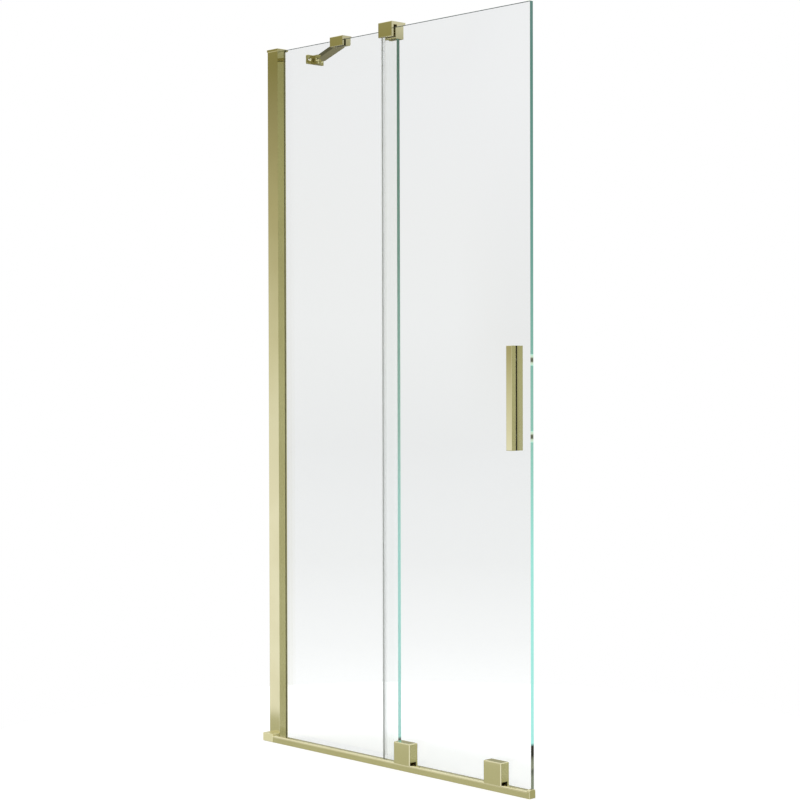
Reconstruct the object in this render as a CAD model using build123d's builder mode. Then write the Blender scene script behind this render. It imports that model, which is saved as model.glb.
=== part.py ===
"""Sliding bath screen: a fixed pane on a wall post, and a pane that rolls on a low rail in front of it.

Millimetres, +Z up. X runs along the bath from the wall to the free end, and -Y is the side that is
seen. The origin is under the middle of the screen's outer box, at the height of the bath rim.
"""
import os
from build123d import *

os.makedirs("parts", exist_ok=True)

# Overall sizes
screen_width = 790.0
glass_top = 1500.0
glass_thickness = 8.0
glass_arris = 0.6
fixed_reach = 395.0
pane_overlap = 35.0
end_margin = 17.5
glass_lift = 3.0

# Fits and gaps
running_gap = 0.3
screw_gap = 0.05
bearing_gap = 0.05
seat_gap = 0.02
pad_thickness = 0.5
strip_inset = 2.0
socket_share = 0.55

# Rail, its wall bracket and its end cap
rail_depth = 16.5
rail_height = 14.5
rail_round = 4.0
rail_wall = 2.0
bracket_width = 33.0
bracket_height = 17.4
end_cap_length = 7.0
end_cap_height = 17.0
end_cap_round = 4.5
end_cap_edge = 1.0
spigot_length = 14.0
spigot_gap = 0.2
rail_grub_radius = 2.0

# Wall post and wall channel
post_setback = 19.0
post_width = 34.0
post_wall = 2.0
post_rear_lip = 2.5
rear_lip_setback = 4.0
post_wall_gap = 0.5
gasket_thickness = 1.0
gasket_proud = 0.4
pocket_depth = 13.5
glass_bite = 12.0
channel_depth = 18.0
channel_wall = 2.0
channel_end_gap = 6.0
foot_thickness = 1.5
cap_thickness = 5.0
cap_rise = 2.0
cap_overhang = 1.8
plug_depth = 8.0
wall_screw_radius = 2.75
wall_screw_head = 4.2
wall_screw_start = 150.0
wall_screw_count = 4
bracket_screw_land = 8.0
post_screw_radius = 2.0
post_screw_head = 3.8
post_screw_length = 7.0
post_screw_start = 150.0
post_screw_count = 3
post_edge = 0.5

# Top guide on the corner of the fixed pane
guide_width = 40.0
guide_proud = 2.5
guide_wall = 5.5
guide_gap = 0.3
liner_thickness = 0.7
liner_inset = 1.0
cover_drop = 30.0
cover_plate = 6.0
cover_back_lip = 1.5
fork_width = 32.0
fork_drop = 22.0
fork_back = 7.5
fork_pad = 0.8
bridge_thickness = 5.5
cover_screw_radius = 1.5
cover_screw_head = 2.9
cover_screw_length = 9.0
cover_screw_pitch = 16.0
guide_edge = 0.8
guide_grub_radius = 2.5
stop_screw_radius = 2.5
stop_screw_clear = 1.5
stop_block_length = 8.0
stop_block_height = 3.5
stop_block_width = 7.0
stop_gap = 1.0

# Support arm from the fixed pane to the wall
clamp_centre = 210.0
clamp_width = 40.0
clamp_rise = 7.0
clamp_drop = 13.5
clamp_rear = 13.5
clamp_round = 4.0
clamp_web = 1.7
arm_width = 22.0
arm_thickness = 8.5
arm_under = 10.0
arm_reach = 103.0
arm_tip_width = 11.0
arm_tip_length = 20.0
arm_flare = 6.0
wall_tip_width = 13.0
wall_tip_length = 9.0
pivot_x = 211.0
pivot_inset = 6.0
pin_radius = 3.0
pin_grip = 5.0
flange_thickness = 5.0
flange_length = 48.0
flange_height = 20.0
flange_under = 15.0
flange_pivot = 15.0
flange_corner = 1.5
flange_hole_radius = 2.25
flange_hole_head = 4.4
flange_hole_pitch = 34.0
clamp_grub_radius = 2.0
clamp_grub_pitch = 6.0
clamp_grub_inset = 6.5

# Sliding carriages
carriage_inset = 80.0
carriage_width = 47.0
carriage_depth = 23.0
carriage_top = 56.5
carriage_round = 2.0
carriage_skin = 3.0
lip_thickness = 1.2
lip_lap = 1.5
slot_height = 5.0
skirt_gap = 1.2
skirt_bottom = 3.0
shoe_length = 34.0
shoe_rise = 1.0
roller_radius = 12.7
roller_width = 7.0
roller_side_gap = 2.0
roller_edge = 0.6
axle_radius = 2.5
bearing_radius = 8.0
bearing_width = 5.0
inner_ring_radius = 4.2
outer_ring_inner_radius = 6.5
ball_count = 7
axle_body_radius = 3.5
axle_head_radius = 5.0
axle_head_height = 3.5
clamp_bolt_height = 42.0
clamp_bolt_radius = 4.0
clamp_bolt_head = 7.0
clamp_bolt_engagement = 8.0
clamp_disc_radius = 11.0
clamp_disc_thickness = 3.5
glass_hole_radius = 7.0

# Handle and edge seal
handle_inset = 46.25
handle_height = 752.0
handle_length = 200.0
handle_width = 15.0
handle_front_depth = 10.8
handle_back_depth = 16.0
handle_round = 0.8
handle_screw_pitch = 145.0
handle_screw_radius = 3.0
handle_screw_head = 5.5
handle_screw_engagement = 7.0
handle_hole_radius = 6.0
washer_radius = 6.8
washer_thickness = 1.0
seal_base = 2.0
seal_leg = 9.0
seal_skin = 0.7
seal_fin = 1.2
seal_top_gap = 1.0
seal_bottom = 16.0

# Places worked out from the sizes, front to back
guide_inner = guide_gap + liner_thickness
sliding_front = carriage_depth + pad_thickness
sliding_back = sliding_front + glass_thickness
fork_front = sliding_back + guide_inner
fixed_front = fork_front + guide_wall
fixed_back = fixed_front + glass_thickness
arm_pivot_y = fixed_back + pad_thickness + clamp_rear - pivot_inset
flange_pivot_y = arm_pivot_y + arm_reach
screen_depth = flange_pivot_y + flange_length / 2

wall_x = -screen_width / 2
front_y = -screen_depth / 2
rail_back_y = front_y + rail_depth
rail_middle_y = front_y + rail_depth / 2
carriage_back_y = front_y + carriage_depth
sliding_front_y = front_y + sliding_front
sliding_back_y = front_y + sliding_back
fork_front_y = front_y + fork_front
fixed_front_y = front_y + fixed_front
fixed_back_y = front_y + fixed_back
fixed_middle_y = (fixed_front_y + fixed_back_y) / 2
sliding_middle_y = (sliding_front_y + sliding_back_y) / 2
post_front_y = front_y + post_setback
pocket_front_y = fixed_front_y - gasket_thickness
pocket_back_y = fixed_back_y + gasket_thickness
post_back_y = pocket_back_y + post_rear_lip

# Places worked out from the sizes, along the bath
rail_start_x = wall_x + bracket_width
rail_end_x = wall_x + screen_width - end_cap_length
post_start_x = wall_x + post_wall_gap
post_face_x = wall_x + post_width
rear_lip_x = post_face_x - rear_lip_setback
pocket_x = post_face_x - pocket_depth
fixed_start_x = post_face_x - glass_bite
fixed_end_x = wall_x + fixed_reach
sliding_end_x = wall_x + screen_width - end_margin
sliding_start_x = fixed_end_x - pane_overlap
guide_end_x = fixed_end_x + guide_proud
guide_start_x = guide_end_x - guide_width
handle_x = sliding_end_x - handle_inset
carriage_places = {
    "left": sliding_start_x + carriage_inset,
    "right": sliding_end_x - carriage_inset,
}

# Places worked out from the sizes, upwards
post_top = glass_top - cap_thickness + cap_rise
slot_top = rail_height + slot_height
axle_height = rail_height + running_gap + roller_radius
bridge_bottom = glass_top + fork_pad
bridge_top = bridge_bottom + bridge_thickness
cover_top = bridge_top + cover_plate
arm_bottom = glass_top - arm_under
arm_top = arm_bottom + arm_thickness
flange_bottom = glass_top - flange_under
flange_top = flange_bottom + flange_height

along_x = (1, 0, 0)
along_y = (0, 1, 0)
along_z = (0, 0, 1)
toward_wall = (-1, 0, 0)
toward_front = (0, -1, 0)
downward = (0, 0, -1)


def block(x_low, x_high, y_low, y_high, z_low, z_high, mode=Mode.ADD):
    """A box between six planes."""
    with BuildSketch(Plane.XY.offset(z_low)) as outline:
        with Locations(((x_low + x_high) / 2, (y_low + y_high) / 2)):
            Rectangle(x_high - x_low, y_high - y_low)
    extrude(outline.sketch, amount=z_high - z_low, mode=mode)


def rod(start, direction, radius, length, mode=Mode.ADD):
    """A round bar or hole that begins at a point and runs one way."""
    with BuildSketch(Plane(origin=start, z_dir=direction)) as outline:
        Circle(radius)
    extrude(outline.sketch, amount=length, mode=mode)


def cone(start, direction, radius, tip_radius, length, mode=Mode.ADD):
    """A countersink or a countersunk head, wide at its start."""
    base = Plane(origin=start, z_dir=direction)
    with BuildSketch(base) as wide_end:
        Circle(radius)
    with BuildSketch(base.offset(length)) as narrow_end:
        Circle(tip_radius)
    loft([wide_end.sketch.face(), narrow_end.sketch.face()], mode=mode)


def spread(first, last, count):
    """Evenly spaced places from the first to the last."""
    return [first + (last - first) * index / (count - 1) for index in range(count)]


def finish(piece, name):
    """Label a finished piece and write its file."""
    piece.label = name
    export_step(piece, f"parts/{name}.step")


def socket(head, direction, size):
    """The hexagon socket in a screw's head."""
    with BuildSketch(Plane(origin=head, z_dir=direction)) as outline:
        RegularPolygon(size, 6)
    extrude(outline.sketch, amount=size, mode=Mode.SUBTRACT)


def screw(head, direction, head_radius, shank_radius, length):
    """A countersunk screw, from the middle of its head's face."""
    cone(head, direction, head_radius, shank_radius, head_radius - shank_radius)
    rod(head, direction, shank_radius, length)
    socket(head, direction, shank_radius * socket_share)


def screw_hole(head, direction, head_radius, shank_radius, length):
    """The countersunk hole that such a screw goes through."""
    cone(head, direction, head_radius, shank_radius, head_radius - shank_radius, Mode.SUBTRACT)
    rod(head, direction, shank_radius, length, Mode.SUBTRACT)


def grub(head, direction, radius, length):
    """A headless screw with a hexagon socket."""
    rod(head, direction, radius, length)
    socket(head, direction, radius * socket_share)


# Wall channel: the bare section that is screwed to the wall, inside the post
channel_front_y = post_front_y + post_wall + running_gap
channel_back_y = pocket_back_y - running_gap
channel_middle_y = (channel_front_y + channel_back_y) / 2
wall_screw_places = spread(wall_screw_start, glass_top - wall_screw_start, wall_screw_count)
post_screw_places = spread(post_screw_start, glass_top - post_screw_start, post_screw_count)
post_screw_x = wall_x + channel_depth / 2

with BuildPart() as wall_channel:
    block(wall_x, wall_x + channel_depth, channel_front_y, channel_back_y,
          channel_end_gap, post_top - channel_end_gap)
    block(wall_x + channel_wall, wall_x + channel_depth,
          channel_front_y + channel_wall, channel_back_y - channel_wall,
          channel_end_gap, post_top - channel_end_gap, Mode.SUBTRACT)
    for height in wall_screw_places:
        rod((wall_x, channel_middle_y, height), along_x, wall_screw_radius, channel_wall, Mode.SUBTRACT)
    for height in post_screw_places:
        rod((post_screw_x, channel_back_y, height), toward_front,
            post_screw_radius + seat_gap, channel_wall, Mode.SUBTRACT)
finish(wall_channel.part, "wall_channel")

# Post: a hollow section that slips over the channel and holds the fixed pane in a pocket. The lip
# behind the pane is shorter than the face in front of it.
with BuildPart() as post_profile:
    block(post_start_x, rear_lip_x, post_front_y, post_back_y, foot_thickness, post_top)
    block(rear_lip_x, post_face_x, post_front_y, pocket_front_y, foot_thickness, post_top)
    uprights = post_profile.edges().filter_by(Axis.Z).group_by(Axis.Y)
    fillet(uprights[0] + uprights[-1], post_edge)
    block(post_start_x, pocket_x - post_wall, post_front_y + post_wall, pocket_back_y,
          foot_thickness, post_top, Mode.SUBTRACT)
    block(pocket_x, post_face_x, pocket_front_y, pocket_back_y, foot_thickness, post_top, Mode.SUBTRACT)
    block(pocket_x, post_face_x - post_wall, post_front_y + post_wall, pocket_front_y - post_wall,
          foot_thickness, post_top, Mode.SUBTRACT)
    for height in post_screw_places:
        screw_hole((post_screw_x, post_back_y, height), toward_front,
                   post_screw_head + seat_gap, post_screw_radius + seat_gap, post_rear_lip)
finish(post_profile.part, "post_profile")

with BuildPart() as post_screws:
    for height in post_screw_places:
        screw((post_screw_x, post_back_y, height), toward_front,
              post_screw_head, post_screw_radius, post_screw_length)
finish(post_screws.part, "post_screws")

# Post cap: a flat lid that stands out all round, with a plug down the post's front chamber
with BuildPart() as post_cap:
    block(post_start_x, post_face_x + cap_overhang, post_front_y - cap_overhang,
          post_back_y + cap_overhang, post_top, post_top + cap_thickness)
    chamfer(post_cap.faces().sort_by(Axis.Z)[-1].edges(), post_edge)
    block(pocket_x + spigot_gap, post_face_x - post_wall - spigot_gap,
          post_front_y + post_wall + spigot_gap, pocket_front_y - post_wall - spigot_gap,
          post_top - plug_depth, post_top)
    block(fixed_start_x - running_gap, post_face_x + cap_overhang, fixed_front_y - running_gap,
          fixed_back_y + running_gap, post_top, glass_top + running_gap, Mode.SUBTRACT)
finish(post_cap.part, "post_cap")

with BuildPart() as post_foot:
    block(post_start_x, post_face_x, post_front_y, post_back_y, 0, foot_thickness)
finish(post_foot.part, "post_foot")

# Glazing gaskets on both faces of the fixed pane, inside the pocket
for name, lip_x, gasket_y in (
    ("front_glazing_gasket", post_face_x, pocket_front_y),
    ("rear_glazing_gasket", rear_lip_x, fixed_back_y),
):
    with BuildPart() as gasket:
        block(pocket_x, lip_x + gasket_proud, gasket_y, gasket_y + gasket_thickness,
              foot_thickness, post_top)
    finish(gasket.part, name)

with BuildPart() as fixed_glass:
    block(fixed_start_x, fixed_end_x, fixed_front_y, fixed_back_y, glass_lift, glass_top)
    chamfer(fixed_glass.edges(), glass_arris)
finish(fixed_glass.part, "fixed_glass")

# Soft strip that the fixed pane stands on
with BuildPart() as setting_strip:
    block(post_face_x + gasket_proud, fixed_end_x - strip_inset, fixed_front_y, fixed_back_y, 0, glass_lift)
finish(setting_strip.part, "setting_strip")


def rail_section(x, length, inset, mode=Mode.ADD):
    """The rail's outline, drawn inwards by an inset and run along the bath."""
    end = Plane(origin=(x, rail_middle_y, rail_height / 2), x_dir=along_y, z_dir=along_x)
    with BuildSketch(end) as outline:
        Rectangle(rail_depth - 2 * inset, rail_height - 2 * inset)
        fillet(outline.vertices().group_by(Axis.Y)[-1], rail_round - inset)
    extrude(outline.sketch, amount=length, mode=mode)


def rail_spigot(x):
    """The tongue that an end piece pushes into the rail's hollow."""
    rail_section(x, spigot_length, rail_wall + spigot_gap)


# Rail: a low hollow section with rounded top edges
rail_length = rail_end_x - rail_start_x
rail_grub_places = (rail_start_x + spigot_length / 2, rail_end_x - spigot_length / 2)

with BuildPart() as rail:
    rail_section(rail_start_x, rail_length, 0)
    rail_section(rail_start_x, rail_length, rail_wall, Mode.SUBTRACT)
    for place in rail_grub_places:
        rod((place, rail_back_y, rail_height / 2), toward_front,
            rail_grub_radius + seat_gap, rail_wall, Mode.SUBTRACT)
finish(rail.part, "rail")

with BuildPart() as rail_grub_screws:
    for place in rail_grub_places:
        grub((place, rail_back_y, rail_height / 2), toward_front, rail_grub_radius, rail_wall + spigot_gap)
finish(rail_grub_screws.part, "rail_grub_screws")

# Wall bracket: a square block against the wall and the post, with the rail pushed over its tongue
with BuildPart() as rail_bracket:
    block(wall_x, rail_start_x, front_y, post_front_y, 0, bracket_height)
    chamfer(rail_bracket.edges(), post_edge)
    rail_spigot(rail_start_x)
    rod((wall_x, rail_middle_y, rail_height / 2), along_x, wall_screw_radius,
        bracket_width + spigot_length, Mode.SUBTRACT)
    rod((wall_x + bracket_screw_land, rail_middle_y, rail_height / 2), along_x, wall_screw_head,
        bracket_width + spigot_length - bracket_screw_land, Mode.SUBTRACT)
finish(rail_bracket.part, "rail_bracket")

# End cap: a little taller than the rail, with a softly rounded top
with BuildPart() as rail_end_cap:
    block(rail_end_x, rail_end_x + end_cap_length, front_y, rail_back_y, 0, end_cap_height)
    fillet(rail_end_cap.faces().sort_by(Axis.Z)[-1].edges().filter_by(Axis.X), end_cap_round)
    fillet(rail_end_cap.faces().sort_by(Axis.X)[-1].edges(), end_cap_edge)
    rail_spigot(rail_end_x - spigot_length)
finish(rail_end_cap.part, "rail_end_cap")

# Top guide: a cover with a front wall, over a fork that grips the fixed pane's top corner
guide_front_y = sliding_front_y - guide_inner - guide_wall
channel_inner_y = sliding_front_y - guide_inner
fork_back_y = fixed_back_y + fork_pad + fork_back
fork_start_x = guide_end_x - fork_width
fork_bottom = glass_top - fork_drop
cover_bottom = cover_top - cover_drop
cover_screw_places = [(guide_end_x - fork_width / 2 + side * cover_screw_pitch / 2, fixed_middle_y, cover_top)
                      for side in (-1, 1)]
guide_grub_places = [(guide_end_x - fork_width / 2 + side * cover_screw_pitch / 2, fork_back_y,
                      (fork_bottom + glass_top) / 2) for side in (-1, 1)]
stop_screw_x = sliding_start_x + stop_block_length + stop_gap + stop_screw_radius
stop_screw_place = (stop_screw_x, sliding_middle_y, cover_top)
stop_screw_length = cover_top - glass_top - stop_screw_clear

with BuildPart() as guide_cover:
    block(guide_start_x, guide_end_x, guide_front_y, fork_back_y + cover_back_lip, bridge_top, cover_top)
    block(guide_start_x, guide_end_x, guide_front_y, channel_inner_y, cover_bottom, cover_top)
    fillet(guide_cover.faces().sort_by(Axis.Y)[0].edges(), guide_edge)
    for place in cover_screw_places:
        screw_hole(place, downward, cover_screw_head + seat_gap, cover_screw_radius + seat_gap, cover_plate)
    rod(stop_screw_place, downward, stop_screw_radius + seat_gap, cover_plate, Mode.SUBTRACT)
finish(guide_cover.part, "guide_cover")

with BuildPart() as guide_fork:
    block(fork_start_x, guide_end_x, fork_front_y, fork_back_y, fork_bottom, bridge_top)
    block(fork_start_x, fixed_end_x + running_gap, fixed_front_y - fork_pad, fixed_back_y + fork_pad,
          fork_bottom, bridge_bottom, Mode.SUBTRACT)
    for place in cover_screw_places:
        rod(place, downward, cover_screw_radius + seat_gap, cover_screw_length, Mode.SUBTRACT)
    for place in guide_grub_places:
        rod(place, toward_front, guide_grub_radius + seat_gap, fork_back, Mode.SUBTRACT)
finish(guide_fork.part, "guide_fork")

with BuildPart() as guide_liner:
    block(guide_start_x, guide_end_x, channel_inner_y, fork_front_y, cover_bottom + liner_inset, bridge_top)
    block(guide_start_x, guide_end_x, channel_inner_y + liner_thickness, fork_front_y - liner_thickness,
          cover_bottom + liner_inset, bridge_top - liner_thickness, Mode.SUBTRACT)
    rod(stop_screw_place, downward, stop_screw_radius + seat_gap,
        cover_plate + liner_thickness, Mode.SUBTRACT)
finish(guide_liner.part, "guide_liner")

with BuildPart() as fork_pads:
    for pad_y in (fixed_front_y - fork_pad, fixed_back_y):
        block(fork_start_x + strip_inset, fixed_end_x - strip_inset, pad_y, pad_y + fork_pad,
              fork_bottom + strip_inset, glass_top - strip_inset)
finish(fork_pads.part, "fork_pads")

with BuildPart() as cover_screws:
    for place in cover_screw_places:
        screw(place, downward, cover_screw_head, cover_screw_radius, cover_screw_length)
finish(cover_screws.part, "cover_screws")

with BuildPart() as guide_grub_screws:
    for place in guide_grub_places:
        grub(place, toward_front, guide_grub_radius, fork_back)
finish(guide_grub_screws.part, "guide_grub_screws")

with BuildPart() as stop_screw:
    grub(stop_screw_place, downward, stop_screw_radius, stop_screw_length)
finish(stop_screw.part, "stop_screw")

# Glass clamp of the support arm: a saddle over the fixed pane's top edge, slotted for the arm
clamp_start_x = wall_x + clamp_centre - clamp_width / 2
clamp_end_x = clamp_start_x + clamp_width
clamp_bottom = glass_top - clamp_drop
clamp_top = glass_top + clamp_rise
clamp_back_y = fixed_back_y + pad_thickness + clamp_rear
clamp_pivot = (wall_x + pivot_x, front_y + arm_pivot_y)
wall_pivot = (wall_x + flange_pivot, front_y + flange_pivot_y)
tip_radius = arm_tip_width / 2
clamp_pin_top = arm_top + pin_grip
clamp_grub_places = [(clamp_end_x - clamp_grub_inset, clamp_back_y,
                      (arm_bottom + arm_top) / 2 + side * clamp_grub_pitch / 2) for side in (-1, 1)]

with BuildPart() as glass_clamp:
    block(clamp_start_x, clamp_end_x, fork_front_y, clamp_back_y, clamp_bottom, clamp_top)
    fillet(glass_clamp.faces().sort_by(Axis.Y)[-1].edges().filter_by(Axis.X), clamp_round)
    fillet(glass_clamp.faces().sort_by(Axis.Y)[0].edges(), guide_edge)
    block(clamp_start_x, clamp_end_x, fixed_front_y - pad_thickness, fixed_back_y + pad_thickness,
          clamp_bottom, glass_top + pad_thickness, Mode.SUBTRACT)
    block(clamp_start_x, clamp_pivot[0] + tip_radius + running_gap,
          fixed_back_y + pad_thickness + clamp_web, clamp_back_y,
          arm_bottom - running_gap, arm_top + running_gap, Mode.SUBTRACT)
    rod((*clamp_pivot, clamp_bottom), along_z, pin_radius + seat_gap, clamp_pin_top - clamp_bottom,
        Mode.SUBTRACT)
    for place in clamp_grub_places:
        rod(place, toward_front, clamp_grub_radius + seat_gap, clamp_rear, Mode.SUBTRACT)
finish(glass_clamp.part, "glass_clamp")

with BuildPart() as clamp_pads:
    for pad_y in (fixed_front_y - pad_thickness, fixed_back_y):
        block(clamp_start_x + strip_inset, clamp_end_x - strip_inset, pad_y, pad_y + pad_thickness,
              clamp_bottom + strip_inset, glass_top - strip_inset)
finish(clamp_pads.part, "clamp_pads")

with BuildPart() as clamp_grub_screws:
    for place in clamp_grub_places:
        grub(place, toward_front, clamp_grub_radius, clamp_rear)
finish(clamp_grub_screws.part, "clamp_grub_screws")

with BuildPart() as clamp_pivot_pin:
    rod((*clamp_pivot, clamp_bottom), along_z, pin_radius, clamp_pin_top - clamp_bottom)
finish(clamp_pivot_pin.part, "clamp_pivot_pin")

# Arm: a flat bar, narrowed at both ends to a rounded tongue on its pivot pin
arm_line = Vector(*wall_pivot, arm_bottom) - Vector(*clamp_pivot, arm_bottom)
arm_length = arm_line.length
arm_plane = Plane(origin=(*clamp_pivot, arm_bottom), x_dir=arm_line, z_dir=along_z)
arm_half = arm_width / 2
wall_tip_radius = wall_tip_width / 2
wall_flare_x = arm_length - wall_tip_length - arm_flare
arm_outline = [
    (0, tip_radius),
    (arm_tip_length, tip_radius),
    (arm_tip_length + arm_flare, arm_half),
    (wall_flare_x, arm_half),
    (wall_flare_x + arm_flare, wall_tip_radius),
    (arm_length, wall_tip_radius),
]

with BuildPart() as arm_bar:
    with BuildSketch(arm_plane):
        with BuildLine():
            far_side = Polyline(*arm_outline)
            near_side = Polyline(*[(along, -across) for along, across in arm_outline])
            Line(far_side @ 0, near_side @ 0)
            Line(far_side @ 1, near_side @ 1)
        make_face()
        Circle(tip_radius)
        with Locations((arm_length, 0)):
            Circle(wall_tip_radius)
        with Locations((0, 0), (arm_length, 0)):
            Circle(pin_radius + bearing_gap, mode=Mode.SUBTRACT)
    extrude(amount=arm_thickness)
finish(arm_bar.part, "arm_bar")

# Wall flange: a small plate on the wall with two ears that carry the arm's other pin
flange_ears = ((flange_bottom, arm_bottom - running_gap), (arm_top + running_gap, flange_top))

with BuildPart() as wall_flange:
    block(wall_x, wall_x + flange_thickness, wall_pivot[1] - flange_length / 2,
          wall_pivot[1] + flange_length / 2, flange_bottom, flange_top)
    fillet(wall_flange.edges().filter_by(Axis.X), flange_corner)
    chamfer(wall_flange.faces().sort_by(Axis.X)[-1].edges(), post_edge)
    for ear_bottom, ear_top in flange_ears:
        block(wall_x + flange_thickness / 2, wall_pivot[0], wall_pivot[1] - wall_tip_radius,
              wall_pivot[1] + wall_tip_radius, ear_bottom, ear_top)
        rod((*wall_pivot, ear_bottom), along_z, wall_tip_radius, ear_top - ear_bottom)
    rod((*wall_pivot, flange_bottom), along_z, pin_radius + seat_gap, flange_height, Mode.SUBTRACT)
    for side in (-1, 1):
        screw_hole((wall_x + flange_thickness, wall_pivot[1] + side * flange_hole_pitch / 2,
                    (flange_bottom + flange_top) / 2), toward_wall,
                   flange_hole_head, flange_hole_radius, flange_thickness)
finish(wall_flange.part, "wall_flange")

with BuildPart() as wall_pivot_pin:
    rod((*wall_pivot, flange_bottom), along_z, pin_radius, flange_height)
finish(wall_pivot_pin.part, "wall_pivot_pin")

# Sliding pane, drilled for the two carriages and for the handle
handle_places = [(handle_x, handle_height + side * handle_screw_pitch / 2) for side in (-1, 1)]
clamp_places = [(place, clamp_bolt_height) for place in carriage_places.values()]

with BuildPart() as sliding_glass:
    block(sliding_start_x, sliding_end_x, sliding_front_y, sliding_back_y, glass_lift, glass_top)
    chamfer(sliding_glass.edges(), glass_arris)
    for hole_x, hole_z in clamp_places:
        rod((hole_x, sliding_front_y, hole_z), along_y, glass_hole_radius, glass_thickness, Mode.SUBTRACT)
    for hole_x, hole_z in handle_places:
        rod((hole_x, sliding_front_y, hole_z), along_y, handle_hole_radius, glass_thickness, Mode.SUBTRACT)
finish(sliding_glass.part, "sliding_glass")

# Edge seal: a clear channel on the pane's trailing edge, with a fin that wipes the fixed pane
seal_start_x = sliding_start_x - seal_base
seal_top = cover_bottom - seal_top_gap

with BuildPart() as edge_seal:
    block(seal_start_x, sliding_start_x + seal_leg, sliding_front_y - seal_skin,
          sliding_back_y + seal_skin, seal_bottom, seal_top)
    block(sliding_start_x - seat_gap, sliding_start_x + seal_leg, sliding_front_y - seat_gap,
          sliding_back_y + seat_gap, seal_bottom, seal_top, Mode.SUBTRACT)
    block(seal_start_x, seal_start_x + seal_fin, sliding_back_y + seal_skin,
          fixed_front_y - running_gap, seal_bottom, seal_top)
finish(edge_seal.part, "edge_seal")

# Stop block on the pane's top edge, which meets the stop screw when the screen is fully drawn out
with BuildPart() as stop_block:
    block(sliding_start_x, sliding_start_x + stop_block_length,
          sliding_middle_y - stop_block_width / 2, sliding_middle_y + stop_block_width / 2,
          glass_top, glass_top + stop_block_height)
finish(stop_block.part, "stop_block")

# Handle: one flat bar on each side of the pane, screwed together through it
handle_bottom = handle_height - handle_length / 2
handle_front_y = sliding_front_y - handle_front_depth
handle_back_y = sliding_back_y + handle_back_depth
handle_screw_length = handle_back_depth + glass_thickness + handle_screw_engagement
handle_clear = handle_screw_radius + running_gap

with BuildPart() as front_handle:
    block(handle_x - handle_width / 2, handle_x + handle_width / 2, handle_front_y, sliding_front_y,
          handle_bottom, handle_bottom + handle_length)
    fillet(front_handle.faces().sort_by(Axis.Y)[0].edges(), handle_round)
    for hole_x, hole_z in handle_places:
        rod((hole_x, sliding_front_y, hole_z), toward_front, washer_radius + seat_gap,
            washer_thickness, Mode.SUBTRACT)
        rod((hole_x, sliding_front_y, hole_z), toward_front, handle_screw_radius + screw_gap,
            handle_screw_engagement + running_gap, Mode.SUBTRACT)
finish(front_handle.part, "front_handle")

with BuildPart() as back_handle:
    block(handle_x - handle_width / 2, handle_x + handle_width / 2, sliding_back_y, handle_back_y,
          handle_bottom, handle_bottom + handle_length)
    fillet(back_handle.faces().sort_by(Axis.Y)[-1].edges(), handle_round)
    for hole_x, hole_z in handle_places:
        rod((hole_x, sliding_back_y, hole_z), along_y, washer_radius + seat_gap,
            washer_thickness, Mode.SUBTRACT)
        screw_hole((hole_x, handle_back_y, hole_z), toward_front, handle_screw_head + seat_gap,
                   handle_screw_radius + screw_gap, handle_back_depth)
finish(back_handle.part, "back_handle")

with BuildPart() as handle_screws:
    for hole_x, hole_z in handle_places:
        screw((hole_x, handle_back_y, hole_z), toward_front, handle_screw_head,
              handle_screw_radius, handle_screw_length)
finish(handle_screws.part, "handle_screws")

with BuildPart() as handle_washers:
    for hole_x, hole_z in handle_places:
        for washer_y in (sliding_front_y - washer_thickness, sliding_back_y):
            rod((hole_x, washer_y, hole_z), along_y, washer_radius, washer_thickness)
    for hole_x, hole_z in handle_places:
        rod((hole_x, sliding_front_y - washer_thickness, hole_z), along_y, handle_clear,
            glass_thickness + 2 * washer_thickness, Mode.SUBTRACT)
finish(handle_washers.part, "handle_washers")

with BuildPart() as handle_bushes:
    for hole_x, hole_z in handle_places:
        rod((hole_x, sliding_front_y, hole_z), along_y, handle_hole_radius - seat_gap, glass_thickness)
        rod((hole_x, sliding_front_y, hole_z), along_y, handle_clear, glass_thickness, Mode.SUBTRACT)
finish(handle_bushes.part, "handle_bushes")

# Carriages: each stands over the rail on one roller and is bolted to the foot of the sliding pane
pocket_top = axle_height + roller_radius + roller_side_gap
pocket_rear_y = rail_middle_y + roller_width / 2 + roller_side_gap
carriage_lip_z = rail_height - lip_lap
skirt_front_y = rail_back_y + skirt_gap
bearing_front_y = rail_middle_y - bearing_width / 2
bearing_rear_y = rail_middle_y + bearing_width / 2
axle_seat_y = front_y + carriage_skin / 2
axle_end_y = carriage_back_y - seat_gap
ball_radius = (outer_ring_inner_radius - inner_ring_radius) / 2 - bearing_gap
ball_circle = (outer_ring_inner_radius + inner_ring_radius) / 2
disc_front_y = sliding_back_y + pad_thickness
disc_back_y = disc_front_y + clamp_disc_thickness
clamp_bolt_length = disc_back_y - carriage_back_y + clamp_bolt_engagement
pad_bottom = slot_top + strip_inset


def ring(place, direction, radius, bore, length):
    """A round tube from a point on its axis."""
    rod(place, direction, radius, length)
    rod(place, direction, bore, length, Mode.SUBTRACT)


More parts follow.
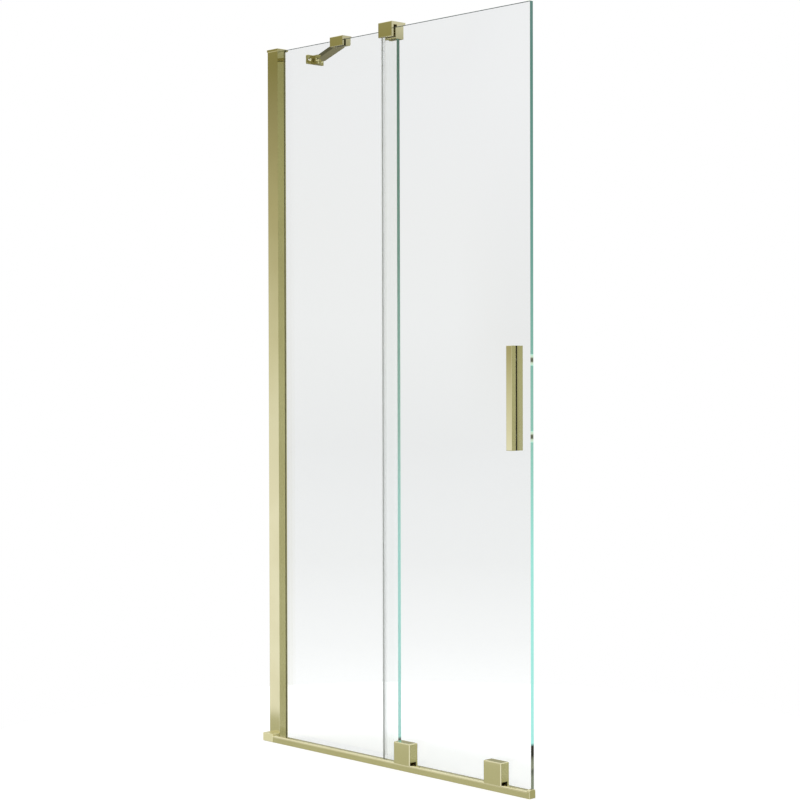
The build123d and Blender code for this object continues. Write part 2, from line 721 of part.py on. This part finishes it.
def carriage_housing(x):
    """The block that straddles the rail, hollow for the roller."""
    low_x, high_x = x - carriage_width / 2, x + carriage_width / 2
    with BuildPart() as housing:
        block(low_x, high_x, front_y, carriage_back_y, skirt_bottom, carriage_top)
        upright = housing.edges().filter_by(Axis.Z)
        around_top = housing.faces().sort_by(Axis.Z)[-1].edges()
        fillet(upright + around_top, carriage_round)
        block(low_x, high_x, front_y, skirt_front_y, skirt_bottom, carriage_lip_z, Mode.SUBTRACT)
        rail_section(low_x, carriage_width, -running_gap, Mode.SUBTRACT)
        block(low_x, high_x, front_y + lip_thickness, skirt_front_y, carriage_lip_z, slot_top,
              Mode.SUBTRACT)
        block(x - roller_radius - roller_side_gap, x + roller_radius + roller_side_gap,
              front_y + carriage_skin, pocket_rear_y, slot_top, pocket_top, Mode.SUBTRACT)
        rod((x, axle_seat_y, axle_height), along_y, axle_radius + seat_gap, carriage_skin, Mode.SUBTRACT)
        rod((x, carriage_back_y, axle_height), toward_front, axle_body_radius + seat_gap,
            carriage_back_y - pocket_rear_y, Mode.SUBTRACT)
        rod((x, carriage_back_y, axle_height), toward_front, axle_head_radius + seat_gap,
            axle_head_height + seat_gap, Mode.SUBTRACT)
        rod((x, carriage_back_y, clamp_bolt_height), toward_front, clamp_bolt_radius + screw_gap,
            clamp_bolt_engagement + running_gap, Mode.SUBTRACT)
    return housing.part


def roller_tyre(x):
    """The plastic tread that runs on the rail."""
    with BuildPart() as tyre:
        rod((x, rail_middle_y - roller_width / 2, axle_height), along_y, roller_radius, roller_width)
        chamfer(tyre.edges(), roller_edge)
        rod((x, rail_middle_y - roller_width / 2, axle_height), along_y, bearing_radius + seat_gap,
            roller_width, Mode.SUBTRACT)
    return tyre.part


def bearing_ring(x, radius, bore):
    """One race of the ball bearing."""
    with BuildPart() as race:
        ring((x, bearing_front_y, axle_height), along_y, radius, bore, bearing_width)
    return race.part


def bearing_balls(x):
    """The balls between the two races."""
    middle = Plane(origin=(x, rail_middle_y, axle_height), x_dir=along_x, z_dir=toward_front)
    with BuildPart(middle) as balls:
        with PolarLocations(ball_circle, ball_count):
            Sphere(ball_radius)
    return balls.part


def roller_axle(x):
    """A shouldered pin with its head sunk in the back of the housing."""
    with BuildPart() as axle:
        rod((x, axle_seat_y + seat_gap, axle_height), along_y, axle_radius,
            bearing_rear_y - axle_seat_y - seat_gap)
        rod((x, bearing_rear_y, axle_height), along_y, axle_body_radius, axle_end_y - bearing_rear_y)
        rod((x, axle_end_y, axle_height), toward_front, axle_head_radius, axle_head_height)
        socket((x, axle_end_y, axle_height), toward_front, axle_radius)
    return axle.part


def clamp_disc(x):
    """The round washer plate behind the glass."""
    with BuildPart() as disc:
        rod((x, disc_front_y, clamp_bolt_height), along_y, clamp_disc_radius, clamp_disc_thickness)
        chamfer(disc.edges().sort_by(Axis.Y)[-1], roller_edge)
        screw_hole((x, disc_back_y, clamp_bolt_height), toward_front, clamp_bolt_head + seat_gap,
                   clamp_bolt_radius + screw_gap, clamp_disc_thickness)
    return disc.part


for side, place in carriage_places.items():
    finish(carriage_housing(place), f"{side}_carriage_housing")
    finish(roller_tyre(place), f"{side}_roller_tyre")
    finish(bearing_ring(place, bearing_radius, outer_ring_inner_radius), f"{side}_bearing_outer_ring")
    finish(bearing_ring(place, inner_ring_radius, axle_radius + seat_gap), f"{side}_bearing_inner_ring")
    finish(bearing_balls(place), f"{side}_bearing_balls")
    finish(roller_axle(place), f"{side}_roller_axle")
    finish(clamp_disc(place), f"{side}_clamp_disc")

with BuildPart() as axle_spacers:
    for place in carriage_places.values():
        ring((place, front_y + carriage_skin, axle_height), along_y, axle_body_radius,
             axle_radius + seat_gap, bearing_front_y - front_y - carriage_skin)
finish(axle_spacers.part, "axle_spacers")

# Soft pads between each carriage and the glass, and behind the glass under each disc
with BuildPart() as carriage_pads:
    for place in carriage_places.values():
        block(place - carriage_width / 2 + strip_inset, place + carriage_width / 2 - strip_inset,
              carriage_back_y, sliding_front_y, pad_bottom, carriage_top - strip_inset)
        rod((place, carriage_back_y, clamp_bolt_height), along_y, glass_hole_radius,
            pad_thickness, Mode.SUBTRACT)
finish(carriage_pads.part, "carriage_pads")

with BuildPart() as disc_pads:
    for place in carriage_places.values():
        ring((place, sliding_back_y, clamp_bolt_height), along_y, clamp_disc_radius,
             glass_hole_radius, pad_thickness)
finish(disc_pads.part, "disc_pads")

with BuildPart() as clamp_bushes:
    for place in carriage_places.values():
        ring((place, sliding_front_y, clamp_bolt_height), along_y, glass_hole_radius - seat_gap,
             clamp_bolt_radius + running_gap, glass_thickness)
finish(clamp_bushes.part, "clamp_bushes")

with BuildPart() as clamp_bolts:
    for place in carriage_places.values():
        screw((place, disc_back_y, clamp_bolt_height), toward_front, clamp_bolt_head,
              clamp_bolt_radius, clamp_bolt_length)
finish(clamp_bolts.part, "clamp_bolts")

# Low-friction shoes that steer each carriage along the rail's back
with BuildPart() as guide_shoes:
    for place in carriage_places.values():
        block(place - shoe_length / 2, place + shoe_length / 2, rail_back_y + running_gap,
              skirt_front_y, skirt_bottom + shoe_rise, rail_height - rail_round)
finish(guide_shoes.part, "guide_shoes")
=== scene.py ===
"""The looks of a sliding bath screen: its camera, studio and finishes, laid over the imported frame."""

import math

import bpy
from mathutils import Matrix, Vector

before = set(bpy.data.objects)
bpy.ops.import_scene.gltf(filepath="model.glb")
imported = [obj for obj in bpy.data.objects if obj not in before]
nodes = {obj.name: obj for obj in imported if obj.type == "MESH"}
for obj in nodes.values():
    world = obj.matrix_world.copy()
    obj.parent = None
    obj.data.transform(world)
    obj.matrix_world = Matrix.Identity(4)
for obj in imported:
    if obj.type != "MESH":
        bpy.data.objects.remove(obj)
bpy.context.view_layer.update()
scene = bpy.context.scene
scene.view_settings.view_transform = "Standard"
scene.cycles.max_bounces = 24
scene.cycles.transmission_bounces = 24
scene.cycles.glossy_bounces = 12


class Tree:
    """A material's or the world's nodes, added and joined in one call each."""

    def __init__(self, owner):
        owner.use_nodes = True
        self.tree = owner.node_tree
        self.tree.nodes.clear()

    def add(self, kind, inputs=(), **settings):
        """Adds a node. inputs pairs a socket's name or number with a value or with the socket that feeds it."""
        node = self.tree.nodes.new(kind)
        for name, value in settings.items():
            setattr(node, name, value)
        for name, value in dict(inputs).items():
            if isinstance(value, bpy.types.NodeSocket):
                self.tree.links.new(value, node.inputs[name])
            else:
                node.inputs[name].default_value = value
        return node

    def math(self, operation, first, second=0.0, third=0.0, clamp=False):
        node = self.add("ShaderNodeMath", {0: first, 1: second, 2: third}, operation=operation)
        node.use_clamp = clamp
        return node.outputs[0]

    def ramp(self, value, stops):
        """A colour that runs through the stops, each a place from 0 to 1 and a colour."""
        node = self.add("ShaderNodeValToRGB", {"Fac": value})
        spots = node.color_ramp.elements
        while len(spots) < len(stops):
            spots.new(0.5)
        for spot, (place, colour) in zip(spots, stops):
            spot.position = place
            spot.color = (*colour, 1)
        return node.outputs["Color"]

    def blend(self, share, first, second):
        node = self.add("ShaderNodeMix", data_type="RGBA")
        for name, value in ((0, share), (6, first), (7, second)):
            if isinstance(value, bpy.types.NodeSocket):
                self.tree.links.new(value, node.inputs[name])
            else:
                node.inputs[name].default_value = value if name == 0 else (*value, 1)
        return node.outputs[2]

    def noise(self, vector, scale, detail=3.0, roughness=0.5):
        inputs = {"Vector": vector, "Scale": scale, "Detail": detail, "Roughness": roughness}
        return self.add("ShaderNodeTexNoise", inputs).outputs["Fac"]

    def spread(self, value, low, high):
        """The value from 0 to 1 as a number from low to high."""
        return self.math("MULTIPLY_ADD", value, high - low, low)

    def place(self, stretch=(1, 1, 1)):
        """The point on the object in metres, drawn out by a different amount along each axis."""
        point = self.add("ShaderNodeTexCoord").outputs["Object"]
        return self.add("ShaderNodeMapping", {"Vector": point, "Scale": stretch}).outputs[0]


def make_camera():
    yaw, pitch, roll = (math.radians(angle) for angle in (46.707, 0.894, -0.139))
    ahead = Vector((-math.sin(yaw) * math.cos(pitch), math.cos(yaw) * math.cos(pitch), -math.sin(pitch)))
    level = Vector((math.cos(yaw), math.sin(yaw), 0))
    upright = level.cross(ahead)
    right = level * math.cos(roll) + upright * math.sin(roll)
    up = upright * math.cos(roll) - level * math.sin(roll)
    data = bpy.data.cameras.new("camera")
    data.lens = 85
    data.sensor_width = 36
    data.clip_end = 100
    camera = bpy.data.objects.new("camera", data)
    scene.collection.objects.link(camera)
    camera.matrix_world = Matrix.Translation((2.80021, -2.68808, 0.8051)) @ Matrix(
        (right, up, -ahead)
    ).transposed().to_4x4()
    scene.camera = camera


def make_world():
    """White for the camera, a plain level for matt surfaces, and a soft room for what mirrors it."""
    world = bpy.data.worlds.new("studio")
    scene.world = world
    t = Tree(world)
    direction = t.add("ShaderNodeTexCoord").outputs["Generated"]
    parts = t.add("ShaderNodeSeparateXYZ", {0: direction})
    side = t.math("ADD", parts.outputs["X"], parts.outputs["Y"])
    toward_back_right = t.math("MULTIPLY_ADD", side, 1.4, -0.7, clamp=True)
    level = t.math("MULTIPLY_ADD", parts.outputs["Z"], 2.0, 0.5, clamp=True)
    across = t.math("SUBTRACT", parts.outputs["Y"], parts.outputs["X"])
    ground = t.ramp(
        t.math("MULTIPLY_ADD", across, -0.28, level),
        ((0.102, (0.60, 0.60, 0.43)), (0.109, (1.08, 1.08, 1.06))),
    )
    front_faces = t.math("GREATER_THAN", across, -0.2)
    steep = t.math("MULTIPLY", across, -24.0, clamp=True)
    steep = t.math("MULTIPLY", steep, front_faces)
    lifted = t.math("MULTIPLY_ADD", level, 1.9, -0.82)
    up_to_dark = t.math("SUBTRACT", 0.74, level)
    bright_side = t.ramp(
        t.math("MULTIPLY_ADD", steep, t.math("MINIMUM", lifted, up_to_dark), level),
        (
            (0.350, (1.03, 1.03, 1.05)),
            (0.410, (0.98, 0.98, 0.98)),
            (0.520, (0.80, 0.79, 0.69)),
            (0.670, (0.53, 0.50, 0.34)),
            (0.774, (0.36, 0.335, 0.20)),
            (0.822, (0.29, 0.27, 0.125)),
            (0.840, (0.345, 0.32, 0.155)),
            (0.865, (0.38, 0.36, 0.20)),
            (1.000, (1.05, 1.05, 1.00)),
        ),
    )
    bright_side = t.add(
        "ShaderNodeMix", {0: 1.0, 6: bright_side, 7: ground}, data_type="RGBA", blend_type="MULTIPLY"
    ).outputs[2]
    dim_side = t.ramp(
        level,
        (
            (0.50, (0.53, 0.53, 0.35)),
            (0.62, (0.50, 0.50, 0.33)),
            (0.71, (0.49, 0.49, 0.30)),
            (0.80, (0.40, 0.40, 0.23)),
            (0.828, (0.42, 0.42, 0.26)),
            (0.842, (0.60, 0.60, 0.56)),
            (0.855, (0.84, 0.84, 0.82)),
            (1.00, (0.90, 0.90, 0.84)),
        ),
    )
    back_left = t.ramp(
        level,
        (
            (0.45, (0.21, 0.20, 0.15)),
            (0.60, (0.34, 0.33, 0.25)),
            (0.70, (0.50, 0.49, 0.38)),
            (1.00, (0.46, 0.45, 0.34)),
        ),
    )
    far_left = t.ramp(parts.outputs["Y"], ((0.25, (0.19, 0.19, 0.19)), (0.60, (1, 1, 1))))
    back_left = t.add(
        "ShaderNodeMix", {0: 1.0, 6: back_left, 7: far_left}, data_type="RGBA", blend_type="MULTIPLY"
    ).outputs[2]
    toward_back = t.math("MULTIPLY_ADD", parts.outputs["Y"], 2.5, 1.1, clamp=True)
    left_side = t.blend(toward_back, bright_side, back_left)
    room = t.blend(toward_back_right, left_side, dim_side)
    overhead = t.math("MULTIPLY_ADD", parts.outputs["Z"], 8.0, -1.95, clamp=True)
    room = t.blend(overhead, room, (1.12, 1.12, 1.08))
    behind_glass = t.ramp(
        level,
        (
            (0.175, (1.01, 1.01, 1.01)),
            (0.215, (0.94, 0.94, 0.94)),
            (0.300, (0.855, 0.855, 0.855)),
            (0.420, (0.825, 0.825, 0.83)),
            (0.550, (0.885, 0.885, 0.90)),
            (0.800, (0.935, 0.935, 0.96)),
        ),
    )
    path = t.add("ShaderNodeLightPath").outputs
    straight = t.math("LESS_THAN", path["Glossy Depth"], 0.5)
    through = t.math("MULTIPLY", path["Is Transmission Ray"], straight)
    mirrored = t.math("MAXIMUM", path["Is Glossy Ray"], path["Is Transmission Ray"])
    colour = t.blend(mirrored, (0.95, 0.95, 0.95), room)
    colour = t.blend(through, colour, behind_glass)
    colour = t.blend(path["Is Camera Ray"], colour, (1, 1, 1))
    background = t.add("ShaderNodeBackground", {"Color": colour, "Strength": 1.0})
    t.add("ShaderNodeOutputWorld", {"Surface": background.outputs[0]})


def make_floor():
    """A round pale floor that keeps the object's shadow and shows white."""
    mesh = bpy.data.meshes.new("floor")
    count, radius, under = 96, 1.0, -0.0004
    ring = [
        (radius * math.cos(2 * math.pi * i / count), radius * math.sin(2 * math.pi * i / count), under)
        for i in range(count)
    ]
    mesh.from_pydata(ring, [], [list(range(count))])
    floor = bpy.data.objects.new("floor", mesh)
    scene.collection.objects.link(floor)
    material = bpy.data.materials.new("floor_white")
    t = Tree(material)
    grain = t.noise(t.place(), 260.0)
    shade = t.ramp(grain, ((0.3, (0.60, 0.60, 0.60)), (0.7, (0.62, 0.62, 0.62))))
    matt = t.add("ShaderNodeBsdfDiffuse", {"Color": shade})
    path = t.add("ShaderNodeLightPath").outputs
    straight = t.math("LESS_THAN", path["Glossy Depth"], 0.5)
    through = t.math("MULTIPLY", path["Is Transmission Ray"], straight)
    lift = t.math("MULTIPLY", t.math("ADD", path["Is Camera Ray"], through), 0.53)
    glow = t.add("ShaderNodeEmission", {"Color": (1, 1, 1, 1), "Strength": lift})
    both = t.add("ShaderNodeAddShader", {0: matt.outputs[0], 1: glow.outputs[0]})
    mirrored = t.math("MULTIPLY", path["Is Transmission Ray"], t.math("SUBTRACT", 1.0, straight))
    unseen = t.add("ShaderNodeBsdfTransparent")
    surface = t.add("ShaderNodeMixShader", {0: mirrored, 1: both.outputs[0], 2: unseen.outputs[0]})
    t.add("ShaderNodeOutputMaterial", {"Surface": surface.outputs[0]})
    mesh.materials.append(material)
    floor.visible_glossy = False


def make_lamp(name, place, aim, size, power):
    data = bpy.data.lights.new(name, "AREA")
    data.shape = "RECTANGLE"
    data.size, data.size_y = size
    data.energy = power
    lamp = bpy.data.objects.new(name, data)
    scene.collection.objects.link(lamp)
    lamp.location = place
    lamp.rotation_euler = (Vector(aim) - Vector(place)).to_track_quat("-Z", "Y").to_euler()
    lamp.visible_camera = False
    lamp.visible_glossy = False
    lamp.visible_transmission = False
    return lamp


def finish_material(name, shader_inputs, tree, volume=None):
    shader = tree.add("ShaderNodeBsdfPrincipled", shader_inputs)
    output = tree.add("ShaderNodeOutputMaterial", {"Surface": shader.outputs[0]})
    if volume is not None:
        tree.tree.links.new(volume, output.inputs["Volume"])
    return bpy.data.materials[name]


def gold(name, grain, roughness=(0.03, 0.06), tint=1.0):
    """Polished pale gold with the faint lines of how it was drawn or buffed, running along the long axis of grain."""
    t = Tree(bpy.data.materials.new(name))
    lines = t.noise(t.place(grain), 1.0, 4.0, 0.6)
    clouds = t.noise(t.place(), 9.0)
    light = tuple(tint * part for part in (0.70, 0.665, 0.445))
    deep = tuple(tint * part for part in (0.66, 0.62, 0.40))
    colour = t.ramp(clouds, ((0.35, deep), (0.65, light)))
    bump = t.add("ShaderNodeBump", {"Strength": 0.004, "Distance": 0.0002, "Height": lines})
    inputs = {
        "Base Color": colour,
        "Metallic": 1.0,
        "Roughness": t.spread(lines, *roughness),
        "Normal": bump.outputs[0],
    }
    return finish_material(t_name(t), inputs, t)


def t_name(tree):
    """The name of the material that a tree belongs to."""
    for material in bpy.data.materials:
        if material.node_tree == tree.tree:
            return material.name
    raise ValueError("this tree is no material's")


def screw_heights(node, head_radius):
    """The middle height of a pair of level screws, one above the other, and how far each is from it."""
    heights = [(node.matrix_world @ Vector(corner)).z for corner in node.bound_box]
    low, high = min(heights), max(heights)
    return (low + high) / 2, (high - low) / 2 - head_radius


def pane_glass(name, foot, screws=None):
    """Clear glass, tinted by its depth, whose upright edges are painted with light: a green that runs from pale at
    the bottom to dark at the top stands in for the light the pane gathers into them.

    The foot gives the edge's painted colours just above the floor, with painted shade where metal beside the pane
    keeps light out of it.
    The screws of a handle that is near an edge are painted onto that edge as a dark spot with a painted light ring
    about it, a painted image of them seen through the glass.
    """
    t = Tree(bpy.data.materials.new(name))
    coordinates = t.add("ShaderNodeTexCoord").outputs
    facing = t.add("ShaderNodeSeparateXYZ", {0: coordinates["Normal"]}).outputs
    place = t.add("ShaderNodeSeparateXYZ", {0: coordinates["Object"]}).outputs
    upright = t.math("GREATER_THAN", t.math("ABSOLUTE", facing["X"]), 0.6)
    level = t.math("GREATER_THAN", t.math("ABSOLUTE", facing["Z"]), 0.6)
    edge = t.math("MAXIMUM", upright, level)
    in_seal = t.math("MULTIPLY", upright, t.math("LESS_THAN", place["X"], -0.02))
    # Painted light: the edge's green, pale low down and dark high up, is painted by height in place of the light the
    # pane gathers into its edges.
    green = t.ramp(
        t.math("DIVIDE", place["Z"], 1.5),
        (
            *foot,
            (0.100, (0.42, 0.98, 0.90)),
            (0.300, (0.36, 0.84, 0.75)),
            (0.450, (0.27, 0.57, 0.47)),
            (0.700, (0.13, 0.33, 0.28)),
            (1.000, (0.075, 0.19, 0.16)),
        ),
    )
    if screws is not None:
        middle, reach = screws
        from_middle = t.math("ABSOLUTE", t.math("SUBTRACT", place["Z"], middle))
        from_screw = t.math("ABSOLUTE", t.math("SUBTRACT", from_middle, reach))
        # Painted image: the handle screws seen through the edge, as a dark spot ringed with painted light.
        spot = t.ramp(
            t.math("MULTIPLY", from_screw, 50.0),
            (
                (0.09, (0.10, 0.12, 0.08)),
                (0.19, (0.24, 0.28, 0.20)),
                (0.27, (0.58, 0.74, 0.57)),
                (0.44, (0.58, 0.82, 0.64)),
                (0.60, (0.36, 0.84, 0.75)),
            ),
        )
        green = t.blend(t.math("LESS_THAN", from_screw, 0.011), green, spot)
    green = t.blend(level, green, (0.10, 0.14, 0.14))
    # Painted light: the edge inside the seal and post gets a near-white colour that brightens it where it is lit only
    # from inside the glass.
    green = t.blend(in_seal, green, (0.97, 0.98, 0.975))
    wiped = t.noise(t.place((3.0, 3.0, 1.2)), 4.0, 2.0)
    inputs = {
        "Base Color": t.blend(edge, (1, 1, 1), green),
        "Roughness": t.spread(wiped, 0.0, 0.004),
        "IOR": 1.52,
        "Transmission Weight": t.math("SUBTRACT", 1.0, edge),
    }
    tint = t.add("ShaderNodeVolumeAbsorption", {"Color": (0, 0.516, 0.412, 1), "Density": 3.45})
    return finish_material(t_name(t), inputs, t, tint.outputs[0])


def clear(name, ior, colour, roughness, alpha):
    """Clear plastic, thin enough to see through, with the faint marks of its moulding."""
    t = Tree(bpy.data.materials.new(name))
    drawn = t.noise(t.place((40.0, 40.0, 3.0)), 4.0, 2.0)
    inputs = {
        "Base Color": (*colour, 1),
        "Roughness": t.spread(drawn, *roughness),
        "IOR": ior,
        "Alpha": alpha,
    }
    return finish_material(t_name(t), inputs, t)


def moulded(name, dark, light, roughness, grain=900.0, soft=0.0):
    """Moulded rubber or plastic with a fine grain."""
    t = Tree(bpy.data.materials.new(name))
    speckle = t.noise(t.place(), grain, 4.0)
    clouds = t.noise(t.place(), 40.0)
    bump = t.add("ShaderNodeBump", {"Strength": 0.25, "Distance": 0.0001, "Height": speckle})
    inputs = {
        "Base Color": t.ramp(clouds, ((0.3, dark), (0.7, light))),
        "Roughness": t.spread(speckle, *roughness),
        "Normal": bump.outputs[0],
        "Subsurface Weight": soft,
        "Subsurface Scale": 0.002,
    }
    return finish_material(t_name(t), inputs, t)


def bare_metal(name, dark, light, roughness, grain):
    """Unplated metal with lines from drawing or turning."""
    t = Tree(bpy.data.materials.new(name))
    lines = t.noise(t.place(grain), 1.0, 4.0, 0.6)
    bump = t.add("ShaderNodeBump", {"Strength": 0.1, "Distance": 0.0002, "Height": lines})
    inputs = {
        "Base Color": t.ramp(lines, ((0.3, dark), (0.7, light))),
        "Metallic": 1.0,
        "Roughness": t.spread(lines, *roughness),
        "Normal": bump.outputs[0],
    }
    return finish_material(t_name(t), inputs, t)


make_camera()
make_world()
make_floor()
make_lamp("key", (-2.6, -3.4, 3.2), (0, 0, 0.8), (3.0, 3.0), 60)
make_lamp("fill", (3.2, 3.0, 2.6), (0, 0, 0.8), (3.0, 3.0), 25)

upright_gold = gold("gold_upright", (900, 900, 6))
level_gold = gold("gold_level", (6, 900, 900))
small_gold = gold("gold_small", (420, 420, 420), (0.025, 0.05))
# Painted shade: the near-black bands at the sliding pane's foot stand for the shade where metal beside the pane keeps
# light out of its edge.
sliding_foot_painted_shade = (
    (0.010, (0.26, 0.30, 0.22)),
    (0.026, (0.22, 0.26, 0.19)),
    (0.028, (0.10, 0.12, 0.09)),
    (0.032, (0.10, 0.12, 0.09)),
    (0.034, (0.26, 0.29, 0.20)),
    (0.046, (0.22, 0.25, 0.17)),
    (0.048, (0.01, 0.01, 0.01)),
    (0.063, (0.01, 0.01, 0.01)),
    (0.066, (0.42, 0.98, 0.90)),
)
# Painted shade: the near-black band at the fixed pane's foot stands for the shade where metal beside the pane keeps
# light out of its edge.
fixed_foot_painted_shade = (
    (0.010, (0.25, 0.30, 0.22)),
    (0.031, (0.25, 0.40, 0.33)),
    (0.0325, (0.01, 0.01, 0.01)),
    (0.037, (0.01, 0.01, 0.01)),
    (0.039, (0.42, 0.98, 0.90)),
)
finishes = {
    "gold_aluminium": level_gold,
    "gold_brass": small_gold,
    "gold_screw": gold("gold_fastener", (500, 500, 500), (0.14, 0.24), 0.9),
    "clear_seal": clear("seal", 1.45, (0.68, 0.69, 0.69), (0.2, 0.35), 0.07),
    "bronze_rubber": moulded("rubber_bronze", (0.16, 0.15, 0.07), (0.20, 0.19, 0.10), (0.5, 0.75)),
    "bronze_nylon": moulded("nylon_bronze", (0.18, 0.14, 0.04), (0.24, 0.19, 0.06), (0.35, 0.5)),
    "black_rubber": moulded("rubber", (0.012, 0.012, 0.012), (0.02, 0.02, 0.02), (0.5, 0.75)),
    "black_nylon": moulded("nylon_black", (0.015, 0.015, 0.016), (0.028, 0.028, 0.028), (0.35, 0.5)),
    "clear_plastic": clear("plastic_clear", 1.49, (0.62, 0.64, 0.64), (0.1, 0.25), 0.55),
    "white_nylon": moulded("nylon_white", (0.76, 0.76, 0.73), (0.82, 0.82, 0.79), (0.3, 0.45), soft=0.1),
    "mill_aluminium": bare_metal("aluminium", (0.72, 0.72, 0.72), (0.8, 0.8, 0.8), (0.25, 0.4), (900, 900, 6)),
    "bare_steel": bare_metal("steel", (0.52, 0.51, 0.49), (0.62, 0.61, 0.59), (0.16, 0.3), (500, 500, 500)),
}
own_finish = {
    # Painted light: the bracket's gold is a lighter copy (tint 1.25) for the brighter light its front catches; its
    # satin roughness is its own.
    "rail_bracket": gold("gold_satin", (420, 420, 420), (0.27, 0.33), 1.25),
    "post_profile": upright_gold,
    "front_handle": upright_gold,
    "back_handle": upright_gold,
    "sliding_glass": pane_glass("glass_sliding", sliding_foot_painted_shade, screw_heights(nodes["handle_screws"], 0.0055)),
    "fixed_glass": pane_glass("glass_fixed", fixed_foot_painted_shade),
}

for name, node in nodes.items():
    for slot in node.material_slots:
        finish = own_finish.get(name) or finishes[slot.material.name.split(".")[0]]
        slot.link = "OBJECT"
        slot.material = finish
